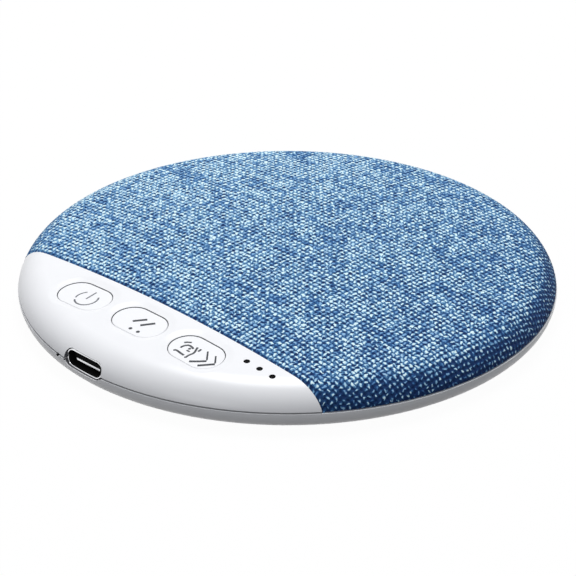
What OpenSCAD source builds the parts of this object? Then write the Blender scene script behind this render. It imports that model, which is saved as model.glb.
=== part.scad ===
// Pillow speaker: a thin disc with a fabric covered loudspeaker dome, a white
// control panel with three keys on one side, and a charging port in its rim.
// Millimetres. The feet stand on z = 0, the disc's centre is x = y = 0, and the
// control panel lies on the -Y side.

/* [Body] */
// Diameter at the parting line
body_d = 95; // [92:1:104]
// Height of the crown above the parting line
crown_h = 7.3; // [7.1:0.1:8.5]
// Radius of the gently domed crown
crown_r = 336; // [300:1:400]
// Radius of the rounded edge of the crown
edge_r = 6; // [5.6:0.1:6.6]
// Radius that the bottom cover curves under with, also its height
base_edge_r = 3.3; // [3.2:0.1:4]
// Thickness of the bottom cover's floor
floor_t = 1.4; // [1.2:0.1:1.45]
// Width of the dark shadow gap at the parting line
seam_gap = 0.25; // [0.15:0.05:0.4]
// Depth of the shadow gap
seam_depth = 0.7; // [0.5:0.1:0.75]
// Thickness of the bottom cover's register lip
lip_t = 0.9; // [0.8:0.1:1]
// Height of the register lip above the parting line
lip_h = 1.2; // [0.8:0.1:1.3]
// Clearance of parts that are pushed together
fit = 0.1; // [0.05:0.01:0.15]

/* [Fabric and grille] */
// Width of the control panel from the rim to the straight fabric border
panel_w = 18.3; // [18.1:0.1:18.6]
// Thickness of the fabric
fabric_t = 0.8; // [0.6:0.05:0.9]
// Thickness of the perforated plate under the fabric
plate_t = 1.15; // [1:0.05:1.25]
// Gap between the fabric and what it lies on
fabric_gap = 0.05; // [0.03:0.01:0.08]
// Depth to which the fabric is tucked in along the border
tuck_depth = 1.5; // [1:0.1:1.8]
// Diameter of the sound holes
sound_d = 2.2; // [1.6:0.1:2.4]
// Distance between neighbouring sound holes
sound_pitch = 3.5; // [3.4:0.1:3.7]
// Rings of sound holes round the middle one
sound_rings = 4; // [2:1:4]

/* [Keys] */
// Distance of the row of keys from the rim
key_in = 12.2; // [12.1:0.05:12.3]
// Distance between neighbouring keys
key_pitch = 13.9; // [13.8:0.1:14.1]
// Length of a key's aperture
key_l = 11; // [10.6:0.1:11.2]
// Width of a key's aperture
key_w = 7; // [6.6:0.1:7.1]
// Gap all round a key
key_gap = 0.25; // [0.2:0.01:0.3]
// Travel of a key
key_travel = 0.3; // [0.2:0.01:0.35]
// How far a key's top lies below the panel's surface
key_drop = 0.2; // [0.1:0.05:0.3]
// Depth of the shallow recess round each key
dish_depth = 0.12; // [0.08:0.01:0.2]
// Width of that recess beyond the aperture
dish_w = 0.85; // [0.6:0.05:0.88]
// Thickness of the flange that keeps a key in
flange_t = 0.8; // [0.6:0.1:0.9]
// How far that flange reaches beyond the aperture
flange_w = 0.4; // [0.3:0.05:0.5]

/* [Port and lights] */
// Place of the charging port along the rim
port_x = -1.6; // [-3:0.1:2]
// Height of the port's middle above the parting line
port_up = 0.85; // [0.75:0.05:1]
// Width of the charging connector
usb_w = 8.94; // [8.8:0.02:9.1]
// Height of the charging connector
usb_h = 2.96; // [2.9:0.02:3.1]
// Length of the charging connector
usb_l = 6.5; // [6.4:0.1:6.6]
// Thickness of its sheet metal
usb_t = 0.2; // [0.15:0.05:0.3]
// Clearance of the port's cut-out beside the connector
port_gap = 0.28; // [0.1:0.02:0.35]
// Clearance of the cut-out above and below the connector
port_play = 0.06; // [0.05:0.01:0.1]
// How far the connector's mouth stands back from the rim
port_back = 1.1; // [0.9:0.1:1.2]
// Diameter of the microphone hole
mic_d = 0.7; // [0.5:0.05:0.8]
// Angle of the microphone hole along the rim from the -Y side
mic_turn = -10; // [-11:0.5:-9.5]
// Distance of the middle status light from the outer key's aperture
light_gap = 6; // [5.6:0.1:6.2]
// Distance of the row of lights from the rim
light_in = 15.6; // [15.4:0.1:15.7]
// Distance between neighbouring lights
light_pitch = 3; // [2.6:0.1:3.1]
// Diameter of a light
light_d = 0.95; // [0.7:0.05:1.1]

/* [Electronics] */
// Thickness of the circuit board
board_t = 0.8; // [0.6:0.05:0.8]
// Distance of the board's straight edge from the rim
board_w = 21.9; // [21.5:0.1:22.5]
// Height of a key switch's body
switch_h = 1.5; // [1.4:0.05:1.6]
// Length and width of a key switch's body
switch_l = 4; // [3.6:0.1:4.2]
// Diameter of a switch's plunger
plunger_d = 1.9; // [1.6:0.1:2.2]
// How far the plunger stands out of its switch
plunger_up = 0.5; // [0.45:0.05:0.6]
// Length of the battery cell
cell_l = 34; // [30:1:35]
// Width of the battery cell
cell_w = 24; // [20:1:25]
// Gap between the battery cell and the loudspeaker
cell_gap = 3; // [2:0.5:4]
// Thickness of the battery cell
cell_t = 3.8; // [3:0.1:4]
// Diameter of one insulated lead
lead_d = 0.9; // [0.7:0.05:1]

/* [Loudspeaker] */
// Place of the loudspeaker to the right of the centre
driver_x = 14; // [13.5:0.1:14.5]
// Place of the loudspeaker behind the centre
driver_y = 4; // [3.5:0.1:4.5]
// Outer diameter of the loudspeaker
driver_d = 40; // [39:0.5:40.5]
// Least gap between the loudspeaker's gasket and the domed plate over it
gasket_gap = 0.228; // [0.15:0.001:0.3]
// Diameter of the magnet
magnet_d = 16; // [14:0.5:16.5]
// Thickness of the magnet
magnet_t = 1.5; // [1.3:0.1:1.6]
// Thickness of the steel of the magnet system
steel_t = 0.8; // [0.7:0.05:0.85]
// Width of the gap that the voice coil moves in
coil_gap = 1.9; // [1.7:0.1:2]
// Thickness of the voice coil
coil_t = 0.7; // [0.5:0.1:0.9]
// Furthest travel of the voice coil each way
coil_travel = 0.3; // [0.2:0.05:0.35]
// Thickness of the diaphragm's dome
cone_t = 0.3; // [0.25:0.05:0.35]
// Thickness of the flexible roll round it
roll_t = 0.2; // [0.15:0.05:0.25]
// Height of the flexible roll
roll_h = 0.7; // [0.4:0.1:0.9]

/* [Feet and screws] */
// How far the feet stand out of the floor
foot_up = 0.5; // [0.4:0.05:0.7]
// Diameter of a rubber foot
foot_d = 8; // [7.4:0.1:8.6]
// Depth of a foot's seat in the floor
foot_seat = 0.4; // [0.3:0.05:0.5]
// Distance of the housing screws from the rim
screw_in = 10; // [9.8:0.1:10.4]
// Angle of the front screws below the X axis
front_turn = 34; // [33.5:0.5:34.5]
// Angle of the rear screws above the X axis
rear_turn = 47; // [46:0.5:49]
// Diameter of a housing screw's shank
screw_d = 2; // [1.8:0.1:2.1]
// Diameter of a housing screw's head
head_d = 3.8; // [3.4:0.1:4]

/* [Hidden] */
$fn = 64;
turn_fn = 180;      // facets of a full turn of the body
crown_fn = 960;     // facets of the crown's large circle
eps = 0.01;         // overlap of solids that are joined or cut
reach = 200;        // larger than anything in the model
body_r = body_d / 2;
part_z = foot_up + base_edge_r;
floor_z = foot_up + floor_t;
chord_y = body_r - panel_w;
key_y = body_r - key_in;
light_x = key_pitch + key_l / 2 + light_gap;
light_y = body_r - light_in;

// The edge circle passes through the rim at the parting line and touches the
// crown circle from inside. Its centre is where both conditions hold.
crown_drop = crown_r - crown_h;
edge_c = (pow(crown_r - edge_r, 2) - pow(edge_r, 2) + pow(body_r, 2) - pow(crown_drop, 2))
    / (2 * crown_drop);
edge_qa = 1 + pow(body_r / crown_drop, 2);
edge_qb = -2 * body_r * (1 + edge_c / crown_drop);
edge_qc = pow(body_r, 2) + pow(edge_c, 2) - pow(edge_r, 2);
edge_x = (-edge_qb - sqrt(pow(edge_qb, 2) - 4 * edge_qa * edge_qc)) / (2 * edge_qa);
edge_z = part_z + edge_c - body_r * edge_x / crown_drop;

// Insets of the layers under the crown's surface
plate_in = fabric_t + fabric_gap;
top_in = plate_in + plate_t;
lip_in = top_in + fit;
lap_in = top_in + fabric_gap;
lap_t = 1.2;
lap_w = 3.2;        // width of the panel's flange under the grille plate
rib_h = 0.55;       // height of the grille plate's ribs
lip_r = body_r - lip_in - lip_t;

// Heights of the board and what stands on it
board_gap = 0.9;    // gap between the board and the register lip
port_z = part_z + port_up;
board_z = port_z - usb_h / 2 - board_t;
board_top = board_z + board_t;
board_r = lip_r - board_gap;
board_y = body_r - board_w;
switch_top = board_top + switch_h;
plunger_top = switch_top + plunger_up;
stem_h = 0.3;
flange_z = plunger_top + fabric_gap + stem_h;
key_seat_z = flange_z + flange_t + fit;
collar_w = 1.1;     // width of the collar that guides a key
edge_break = 0.25;  // bevel round a key's top

// Places of the housing screws, left and right in front, then behind
screw_circle_r = body_r - screw_in;
front_x = screw_circle_r * cos(front_turn);
front_y = screw_circle_r * sin(front_turn);
rear_x = screw_circle_r * cos(rear_turn);
rear_y = screw_circle_r * sin(rear_turn);
screw_places = [[-front_x, -front_y], [front_x, -front_y],
    [-rear_x, rear_y], [rear_x, rear_y]];
boss_z = part_z + 0.4;      // where the bosses of the covers meet
boss_d = 7;
core_d = 5;                 // bosses of the grille plate
ear_w = 9;                  // width of the panel's ears round those bosses
head_h = 1.1;
head_seat_z = foot_up + foot_seat + head_h + fit;
screw_hold = 2.1;           // reach of the screws into the plate's bosses
cross_w = 0.5;              // width and depth of the cross in a screw's head
cross_h = 0.6;

// Screws of the board, in its two corners and beside the middle key
board_screw_d = 1.6;
board_head_d = 2.8;
board_head_h = 0.7;
board_hold = 0.6;           // reach of the screws into the cover's floor
board_post_d = 4.4;
board_screw_in = 3;         // distance of these screws from the board's straight edge
board_screw_y = -board_y - board_screw_in;
board_corner_x = sqrt(pow(board_r, 2) - pow(board_screw_y, 2)) - board_post_d;
board_screw_places = [[-board_corner_x, board_screw_y], [key_l / 2 - 0.5, board_screw_y],
    [board_corner_x, board_screw_y]];

// Loudspeaker, upwards from the floor
yoke_z = floor_z + fit;
magnet_z = yoke_z + steel_t;
pole_z = magnet_z + magnet_t;
pole_over = 0.2;            // how far the pole plate reaches beyond the magnet
gap_in_r = magnet_d / 2 + pole_over;
gap_out_r = gap_in_r + coil_gap;
yoke_r = gap_out_r + steel_t;
yoke_h = steel_t + magnet_t + steel_t;
coil_r = (gap_in_r + gap_out_r) / 2;
coil_clear = 0.35;          // least gap between the coil and the yoke's floor
coil_z = magnet_z + coil_travel + coil_clear;
frame_t = 0.8;
frame_in = 2.4;             // width of the frame's flange
gasket_t = 0.3;
gasket_d = driver_d - 0.4;
driver_far = sqrt(pow(driver_x, 2) + pow(driver_y, 2)) + gasket_d / 2;
gasket_top = crown_z(driver_far, 0, top_in) - gasket_gap;
frame_top = gasket_top - gasket_t - roll_t;
frame_z = frame_top - frame_t;
neck_drop = 1;
cone_z = frame_top - neck_drop;     // height of the diaphragm's neck
cone_r = coil_r + coil_t / 2;

pad_t = 0.2;
pad_in = 2;                 // the pad's margin to the sides of the cell
cell_x = driver_x - driver_d / 2 - cell_gap - cell_w / 2;
cell_y = driver_y;
fence_t = 1;
fence_h = 1.4;
socket_w = 4.6;
socket_l = 3.6;
socket_h = 1.9;
socket_in = 0.3;            // the sockets' step back from the board's straight edge
socket_y = -board_y - socket_l / 2 - socket_in;
speaker_shift = 3;          // the speaker socket stands this far beside the driver
speaker_socket_x = driver_x + speaker_shift;
socket_clear = 4.3;         // gap between the battery socket and the screw boss
battery_socket_x = -front_x + boss_d / 2 + socket_w / 2 + socket_clear;
lead_pitch = 1.25;
tabs_x = cell_w / 12;       // place of the cell's tabs beside its middle
terminal_l = 6;
terminal_w = 1.9;
terminal_t = 0.6;
terminal_in = 0.4;          // the terminal's step back from the frame's edge

function crown_z(x, y, inset) =
    part_z - crown_drop + sqrt(pow(crown_r - inset, 2) - x * x - y * y);

// Section of the crown from its axis to its edge, inset from the surface
module crown_section(inset, low) {
    tangent_x = edge_x * (crown_r - inset) / (crown_r - edge_r);
    intersection() {
        translate([0, part_z - crown_drop]) circle(crown_r - inset, $fn = crown_fn);
        translate([0, low]) square([tangent_x, 2 * crown_h]);
    }
    intersection() {
        translate([edge_x, edge_z]) circle(edge_r - inset, $fn = 128);
        translate([tangent_x, low]) square([2 * edge_r, 2 * crown_h]);
    }
}

module crown(inset, low) {
    rotate_extrude($fn = turn_fn) crown_section(inset, low);
}

// Shell between two insets, open below
module crown_shell(outer_in, inner_in, low) {
    rotate_extrude($fn = turn_fn) difference() {
        crown_section(outer_in, low);
        crown_section(inner_in, low - 1);
    }
}

// Everything behind a straight line across the disc
module behind(y) {
    translate([-reach / 2, y, -1]) cube(reach);
}

module in_front(y) {
    translate([-reach / 2, y - reach, -1]) cube(reach);
}

module obround(l, w, h) {
    translate([-(l - w) / 2, -w / 2, 0]) cube([l - w, w, h]);
    for (side = [-1, 1])
        translate([side * (l - w) / 2, 0, 0]) cylinder(d = w, h = h);
}

// Obround that widens by grow all round from its foot to its top
module obround_flare(l, w, h, grow) {
    half = (l - w) / 2;
    rotate([90, 0, 90]) translate([0, 0, -half]) linear_extrude(2 * half)
        polygon([[-w / 2, 0], [w / 2, 0], [w / 2 + grow, h], [-w / 2 - grow, h]]);
    for (side = [-1, 1])
        translate([side * half, 0, 0]) cylinder(r1 = w / 2, r2 = w / 2 + grow, h = h);
}

// Puts what follows flat on the crown over a point of the plan
module on_crown(x, y) {
    translate([x, y, crown_z(x, y, 0)])
        rotate([-asin(y / crown_r), asin(x / crown_r), 0]) children();
}

module ring(outer_d, inner_d, h) {
    difference() {
        cylinder(d = outer_d, h = h);
        translate([0, 0, -1]) cylinder(d = inner_d, h = h + 2);
    }
}

// Cut-out of the charging port, through the rim and on over the connector
module port_cut() {
    translate([port_x, mouth_y - reach, port_z]) rotate([-90, 0, 0])
        obround(usb_w + 2 * port_gap, usb_h + 2 * port_play, reach + usb_l + fit);
}

module mic_cut() {
    rotate([0, 0, mic_turn]) translate([0, -body_r - 1, part_z + seam_gap / 2])
        rotate([-90, 0, 0]) cylinder(d = mic_d, h = 1 + lip_in + lip_t + board_gap, $fn = 24);
}

module bottom_cover() {
    color("gainsboro") difference() {
        union() {
            difference() {
                rotate_extrude($fn = turn_fn) difference() {
                    union() {
                        intersection() {
                            translate([body_r - base_edge_r, part_z])
                                circle(base_edge_r, $fn = 96);
                            translate([body_r - base_edge_r, foot_up])
                                square([base_edge_r, base_edge_r]);
                        }
                        translate([0, foot_up]) square([body_r - base_edge_r, base_edge_r]);
                        intersection() {
                            crown_section(lip_in, part_z - eps);
                            square([body_r, part_z + lip_h]);
                        }
                    }
                    translate([0, floor_z]) square([lip_r, base_edge_r + 2 * lip_h]);
                }
            }
            for (p = screw_places)
                translate([p[0], p[1], floor_z - eps]) cylinder(d = boss_d, h = boss_z - floor_z - fit / 2);
            for (p = board_screw_places)
                translate([p[0], p[1], floor_z - eps])
                    cylinder(d = board_post_d, h = board_z - floor_z);
            // Ring that centres the magnet system
            translate([driver_x, driver_y, floor_z - eps])
                ring(2 * yoke_r + 2 * fit + 2, 2 * yoke_r + 2 * fit, 1.2);
            // Low fences at both ends of the battery cell
            for (side = [-1, 1]) translate([cell_x - cell_w / 2,
                cell_y - fence_t / 2 + side * (cell_l / 2 + fit + fence_t / 2), floor_z - eps])
                cube([cell_w, fence_t, fence_h]);
        }
        for (p = screw_places) translate([p[0], p[1], 0]) {
            cylinder(d = foot_d + 2 * fit, h = foot_up + foot_seat);
            cylinder(d = head_d + 4 * fit, h = head_seat_z);
            cylinder(d = screw_d + 3 * fit, h = 2 * part_z);
        }
        for (p = board_screw_places)
            translate([p[0], p[1], floor_z - board_hold - fit])
                cylinder(d = board_screw_d + fit, h = board_z - floor_z + 1);
        port_cut();
        mic_cut();
    }
}

module panel_body() {
    intersection() {
        rotate_extrude($fn = turn_fn) difference() {
            union() {
                crown_section(0, part_z + seam_gap);
                crown_section(seam_depth, part_z);
            }
            crown_section(top_in, part_z - 1);
        }
        in_front(-chord_y);
    }
    // Rib along the border, from inside the wall down to the lap flange
    intersection() {
        crown_shell(top_in / 2, lap_in + lap_t, part_z + lip_h + fit);
        in_front(-chord_y);
        behind(-chord_y - 1.4);
    }
    // Flange that laps under the grille plate, with an ear at each screw
    intersection() {
        crown_shell(lap_in, lap_in + lap_t, part_z + lip_h + fit);
        union() {
            intersection() {
                in_front(-chord_y + lap_w);
                behind(-chord_y - 1);
            }
            for (side = [-1, 1])
                translate([side * front_x - ear_w / 2, -chord_y, 0])
                    cube([ear_w, chord_y - front_y + ear_w / 2 - 0.3, reach]);
        }
    }
    for (side = [-1, 1]) intersection() {
        translate([side * front_x, -front_y, boss_z + fit / 2])
            cylinder(d = (core_d + ear_w) / 2 + 0.4, h = reach);
        crown(lap_in, part_z);
    }
    // Collars that guide the keys
    for (i = [-1, 0, 1]) intersection() {
        translate([i * key_pitch, -key_y, key_seat_z])
            obround(key_l + 2 * collar_w, key_w + 2 * collar_w, reach);
        crown(1, part_z);
    }
}

// Shallow recess round a key, whose floor follows the crown
module dish(i) {
    difference() {
        translate([i * key_pitch, -key_y, part_z + lip_h])
            obround(key_l + 2 * dish_w, key_w + 2 * dish_w, reach);
        crown(dish_depth, part_z - 1);
    }
}

module control_panel() {
    color("white") difference() {
        panel_body();
        for (i = [-1, 0, 1]) {
            translate([i * key_pitch, -key_y, part_z + 1]) obround(key_l, key_w, reach);
            translate([i * key_pitch, -key_y, flange_z - key_travel - 0.2])
                obround(key_l + 2 * flange_w + 0.5, key_w + 2 * flange_w + 0.5,
                    key_seat_z - flange_z + key_travel + 0.2);
            dish(i);
            translate([light_x + i * light_pitch, -light_y, part_z]) cylinder(d = light_d, h = reach);
        }
        for (side = [-1, 1]) translate([side * front_x, -front_y, 0])
            cylinder(d = core_d + 2 * fit, h = reach);
        port_cut();
        mic_cut();
    }
}

// Sound holes in rings of six, twelve and so on round the middle one
module sound_holes() {
    for (ring_no = [0:sound_rings])
        for (k = [0:max(6 * ring_no, 1) - 1]) {
            step = 360 / max(6 * ring_no, 1);
            translate([driver_x + ring_no * sound_pitch * cos(k * step),
                driver_y + ring_no * sound_pitch * sin(k * step), part_z])
                cylinder(d = sound_d, h = reach, $fn = 24);
        }
}

module grille_plate() {
    border = -chord_y + fabric_t + 2 * fabric_gap;
    color("dimgray") difference() {
        union() {
            intersection() {
                crown_shell(plate_in, top_in, part_z);
                behind(border);
            }
            // Ring that presses on the loudspeaker's gasket
            intersection() {
                translate([driver_x, driver_y, gasket_top + fabric_gap])
                    ring(gasket_d, driver_d - 2 * frame_in, reach);
                crown(plate_in + plate_t / 2, part_z);
            }
            for (p = screw_places) intersection() {
                translate([p[0], p[1], boss_z + fit / 2]) cylinder(d = core_d, h = reach);
                crown(plate_in + plate_t / 2, part_z);
            }
            // Ribs that stiffen the plate over the battery cell
            for (k = [-1, 0, 1]) intersection() {
                translate([cell_x - cell_w / 2, cell_y + k * cell_l / 3 - 0.5,
                    crown_z(cell_x, cell_y, top_in) - rib_h])
                    cube([cell_w, 1, reach]);
                crown(plate_in + plate_t / 2, part_z);
            }
        }
        sound_holes();
        for (p = screw_places)
            translate([p[0], p[1], 0]) cylinder(d = screw_d + fit, h = boss_z + screw_hold + 0.3);
    }
}

module fabric_cover() {
    low = part_z + seam_gap;
    color("steelblue") {
        intersection() {
            crown_shell(0, fabric_t, low);
            behind(-chord_y + fabric_gap);
        }
        // Edge that is tucked in between the panel and the grille plate
        intersection() {
            crown_shell(fabric_t / 2, tuck_depth, low);
            behind(-chord_y + fabric_gap);
            in_front(-chord_y + fabric_gap + fabric_t);
        }
    }
}

// A key with its retaining flange and stem
module key(i) {
    l = key_l - 2 * key_gap;
    w = key_w - 2 * key_gap;
    color("white") {
        intersection() {
            translate([i * key_pitch, -key_y, flange_z + flange_t / 2]) obround(l, w, reach);
            crown(key_drop, part_z);
            on_crown(i * key_pitch, -key_y) translate([0, 0, -key_drop + 0.1]) mirror([0, 0, 1])
                obround_flare(l - 2 * edge_break - 0.2, w - 2 * edge_break - 0.2, key_l, key_l);
        }
        translate([i * key_pitch, -key_y, flange_z])
            obround(key_l + 2 * flange_w, key_w + 2 * flange_w, flange_t);
        translate([i * key_pitch, -key_y, flange_z - stem_h]) cylinder(d = plunger_d + 0.8, h = stem_h + eps);
    }
}

module power_key() { key(-1); }
module back_key() { key(0); }
module forward_key() { key(1); }

module tact_switch(i) {
    color("darkgray") translate([i * key_pitch, -key_y, board_top]) difference() {
        translate([-switch_l / 2, -switch_l / 2, 0]) cube([switch_l, switch_l, switch_h]);
        translate([0, 0, 0.4]) cylinder(d = plunger_d + 2 * fit, h = switch_h);
    }
}

module plunger(i) {
    foot_z = board_top + 0.4 + key_travel + fit;
    color("black") translate([i * key_pitch, -key_y, foot_z])
        cylinder(d = plunger_d, h = plunger_top - foot_z);
}

module power_switch() { tact_switch(-1); }
module back_switch() { tact_switch(0); }
module forward_switch() { tact_switch(1); }
module power_plunger() { plunger(-1); }
module back_plunger() { plunger(0); }
module forward_plunger() { plunger(1); }

module main_board() {
    color("darkgreen") difference() {
        intersection() {
            translate([0, 0, board_z]) cylinder(r = board_r, h = board_t, $fn = turn_fn);
            in_front(-board_y);
        }
        for (p = board_screw_places)
            translate([p[0], p[1], 0]) cylinder(d = board_screw_d + 0.3, h = reach);
        for (p = screw_places) translate([p[0], p[1], 0]) cylinder(d = boss_d + 2 * fit, h = reach);
    }
}

mouth_y = -sqrt(pow(body_r, 2) - pow(port_x, 2)) + port_back;

// Drawn shell of the connector, closed at its back
module usb_shell() {
    color("silver") translate([port_x, mouth_y, port_z]) rotate([-90, 0, 0]) difference() {
        obround(usb_w, usb_h, usb_l);
        translate([0, 0, -1]) obround(usb_w - 2 * usb_t, usb_h - 2 * usb_t, usb_l - usb_t + 1);
    }
}

module usb_tongue() {
    tongue_t = 0.7;
    tongue_w = usb_w - 2.24;
    tongue_back = 0.8;          // its step back from the connector's mouth
    block_l = 2;
    block_w = usb_w - usb_h - 0.14;
    color("black") translate([port_x, mouth_y + tongue_back, port_z]) {
        translate([-tongue_w / 2, 0, -tongue_t / 2])
            cube([tongue_w, usb_l - tongue_back - usb_t, tongue_t]);
        translate([-block_w / 2, usb_l - usb_t - tongue_back - block_l, -usb_h / 2 + usb_t])
            cube([block_w, block_l, usb_h - 2 * usb_t]);
    }
}

module status_leds() {
    color("ivory") for (i = [-1, 0, 1])
        translate([light_x + i * light_pitch - 0.5, -light_y - 0.4, board_top]) cube([1, 0.8, 0.55]);
}

// Three light pipes on one bar
module light_guide() {
    foot_z = board_top + 0.6;
    bar_t = 0.8;
    bar_w = 1.3;
    bar_end = 0.8;
    bar_gap = 0.68;     // least gap between the bar and the domed panel over it
    bar_z = crown_z(light_x + light_pitch + bar_end, light_y + bar_w / 2, top_in) - bar_gap - bar_t;
    color("black") {
        for (i = [-1, 0, 1]) {
            x = light_x + i * light_pitch;
            translate([x, -light_y, foot_z]) cylinder(d = 1.2, h = bar_z - foot_z + bar_t);
            intersection() {
                translate([x, -light_y, bar_z]) cylinder(d = light_d - fit, h = reach);
                crown(fit, part_z);
            }
        }
        translate([light_x - light_pitch - bar_end, -light_y - bar_w / 2, bar_z])
            cube([2 * light_pitch + 2 * bar_end, bar_w, bar_t]);
    }
}

module microphone() {
    mic_w = 1.9;
    mic_l = 2.8;
    mic_h = 0.95;
    color("silver") rotate([0, 0, mic_turn]) translate([-mic_w / 2, -board_r + 0.6, board_top])
        difference() {
            cube([mic_w, mic_l, mic_h]);
            translate([mic_w / 2, -1, mic_h / 2]) rotate([-90, 0, 0]) cylinder(d = 0.35, h = 1.6, $fn = 24);
        }
}

module main_chip() {
    chip_l = 5;
    color("black") translate([-key_pitch / 2 - chip_l / 2, -board_y - 0.8 - chip_l, board_top])
        cube([chip_l, chip_l, 0.85]);
}

module amplifier_chip() {
    chip_l = 3;
    color("black") translate([key_pitch - chip_l - 0.8, -board_y - 2 - chip_l, board_top])
        cube([chip_l, chip_l, 0.75]);
}

module battery_cell() {
    fold = 1.6;     // crimped edge of the pouch at its front
    color("silver") translate([cell_x, cell_y, floor_z + pad_t]) {
        translate([-cell_w / 2, -cell_l / 2 + fold, 0]) cube([cell_w, cell_l - fold, cell_t]);
        translate([-cell_w / 2 + 1, -cell_l / 2, cell_t / 2 - 0.3]) cube([cell_w - 2, fold + eps, 0.6]);
    }
}

module battery_pad() {
    color("black") translate([cell_x - cell_w / 2 + pad_in, cell_y - cell_l / 2 + pad_in + 1, floor_z])
        cube([cell_w - 2 * pad_in, cell_l - 2 * pad_in - 2, pad_t]);
}

module wire_socket(x) {
    color("ivory") translate([x - socket_w / 2, socket_y - socket_l / 2, board_top]) difference() {
        cube([socket_w, socket_l, socket_h]);
        for (side = [-1, 1])
            translate([socket_w / 2 + side * lead_pitch / 2, socket_l + 1, socket_h / 2])
                rotate([90, 0, 0]) cylinder(d = lead_d + fit, h = 2.5, $fn = 24);
    }
}

module battery_socket() { wire_socket(battery_socket_x); }
module speaker_socket() { wire_socket(speaker_socket_x); }

// One insulated lead in an S bend between two points, with its rings across Y
module lead(start, end) {
    sides = 8;
    rings = 12;
    ease = function (t) t < 0.15 ? 0 : pow((t - 0.15) / 0.85, 2) * (3 - 2 * (t - 0.15) / 0.85);
    points = [for (k = [0:rings], a = [0:sides - 1])
        let (t = k / rings, e = ease(t), turn = 360 * (a + 0.5) / sides)
        [start[0] + (end[0] - start[0]) * e + lead_d / 2 * cos(turn),
            start[1] + (end[1] - start[1]) * t,
            start[2] + (end[2] - start[2]) * e + lead_d / 2 * sin(turn)]];
    sleeve = [for (k = [0:rings - 1], a = [0:sides - 1])
        let (b = (a + 1) % sides)
        [k * sides + a, (k + 1) * sides + a, (k + 1) * sides + b, k * sides + b]];
    near_end = [for (a = [0:sides - 1]) a];
    far_end = [for (a = [0:sides - 1]) rings * sides + sides - 1 - a];
    polyhedron(points, concat([near_end], sleeve, [far_end]), convexity = 4);
}

// A pair of leads from a socket at x to the place given by its end
module lead_pair(x, end) {
    start_y = socket_y + socket_l / 2 - 1.3;
    for (side = [-1, 1])
        lead([x + side * lead_pitch / 2, start_y, board_top + socket_h / 2],
            [end[0] + side * lead_pitch / 2, end[1], end[2]]);
}

module battery_leads() {
    color("firebrick")
        lead_pair(battery_socket_x, [cell_x + tabs_x, cell_y - cell_l / 2 - fit, floor_z + pad_t + cell_t / 2]);
}

module at_driver(z) {
    translate([driver_x, driver_y, z]) children();
}

// Stamped frame: flange, sloping web with windows, collar round the yoke
module driver_frame() {
    collar_r = yoke_r + fit;
    collar_z = yoke_z + yoke_h - 1;
    flange_r = driver_d / 2 - frame_in;
    color("dimgray") at_driver(0) difference() {
        rotate_extrude($fn = 120) polygon([
            [collar_r, collar_z], [collar_r + 1, collar_z], [flange_r, frame_z - 0.2],
            [flange_r, frame_z], [driver_d / 2, frame_z], [driver_d / 2, frame_top],
            [flange_r, frame_top], [flange_r - 0.9, frame_z + 0.1], [collar_r, collar_z + 0.9]]);
        for (k = [0:5]) rotate([0, 0, 60 * k + 30])
            translate([(collar_r + flange_r) / 2, 0, 0]) cylinder(d = 3, h = reach, $fn = 32);
    }
}

// Turned steel cup that holds the magnet
module driver_yoke() {
    color("silver") at_driver(yoke_z) difference() {
        cylinder(r = yoke_r, h = yoke_h, $fn = 96);
        translate([0, 0, steel_t]) cylinder(r = gap_out_r, h = yoke_h, $fn = 96);
    }
}

module driver_magnet() {
    color("dimgray") at_driver(magnet_z) cylinder(d = magnet_d, h = magnet_t, $fn = 96);
}

module driver_pole_plate() {
    color("silver") at_driver(pole_z) cylinder(r = gap_in_r, h = steel_t, $fn = 96);
}

module voice_coil() {
    color("chocolate") at_driver(coil_z)
        ring(2 * coil_r + coil_t, 2 * coil_r - coil_t, cone_z - coil_z);
}

// Dome of the diaphragm, glued to the coil's end
module driver_cone() {
    rise = 0.9;
    cap_r = (cone_r * cone_r + rise * rise) / (2 * rise);
    color("black") at_driver(cone_z) rotate_extrude($fn = 96) difference() {
        intersection() {
            translate([0, rise - cap_r]) circle(cap_r, $fn = 360);
            square([cone_r, 5]);
        }
        intersection() {
            translate([0, rise - cap_r]) circle(cap_r - cone_t, $fn = 360);
            translate([-1, -1]) square([coil_r - coil_t / 2 + 1, 6]);
        }
    }
}

// Flexible roll between the diaphragm and the frame's flange
module cone_surround() {
    inner_r = cone_r + fabric_gap;
    roll_from = inner_r + 2.2;
    roll_to = driver_d / 2 - frame_in + 0.3;
    steps = 12;
    top_line = concat(
        [[inner_r, cone_z + roll_t], [inner_r + 0.5, cone_z + roll_t]],
        [for (k = [0:steps]) [roll_from + (roll_to - roll_from) * k / steps,
            frame_top + roll_t + roll_h * sin(180 * k / steps)]],
        [[driver_d / 2 - 0.2, frame_top + roll_t]]);
    under_line = [for (k = [len(top_line) - 1:-1:0]) top_line[k] - [0, roll_t]];
    color("black") at_driver(0) rotate_extrude($fn = 96) polygon(concat(top_line, under_line));
}

module driver_gasket() {
    color("black") at_driver(frame_top + roll_t)
        ring(gasket_d, driver_d - 2 * frame_in + 1, gasket_t);
}

// Solder tab board on the side of the frame that faces the circuit board
module driver_terminal() {
    color("tan") translate([driver_x - terminal_l / 2, driver_y - driver_d / 2 + terminal_in,
        frame_z - fabric_gap - terminal_t])
        cube([terminal_l, terminal_w, terminal_t]);
}

module speaker_leads() {
    color("firebrick")
        lead_pair(speaker_socket_x,
            [driver_x, driver_y - driver_d / 2 + terminal_in - fit, frame_z - terminal_t]);
}

module housing_screws() {
    seat_z = foot_up + foot_seat + fit / 2;
    color("silver") for (p = screw_places) translate([p[0], p[1], seat_z]) difference() {
        union() {
            cylinder(d = head_d, h = head_h);
            cylinder(d = screw_d, h = boss_z + screw_hold - seat_z);
        }
        for (turn = [0, 90]) rotate([0, 0, turn])
            translate([-head_d / 3, -cross_w / 2, -1]) cube([head_d / 1.5, cross_w, 1 + cross_h]);
    }
}

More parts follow.
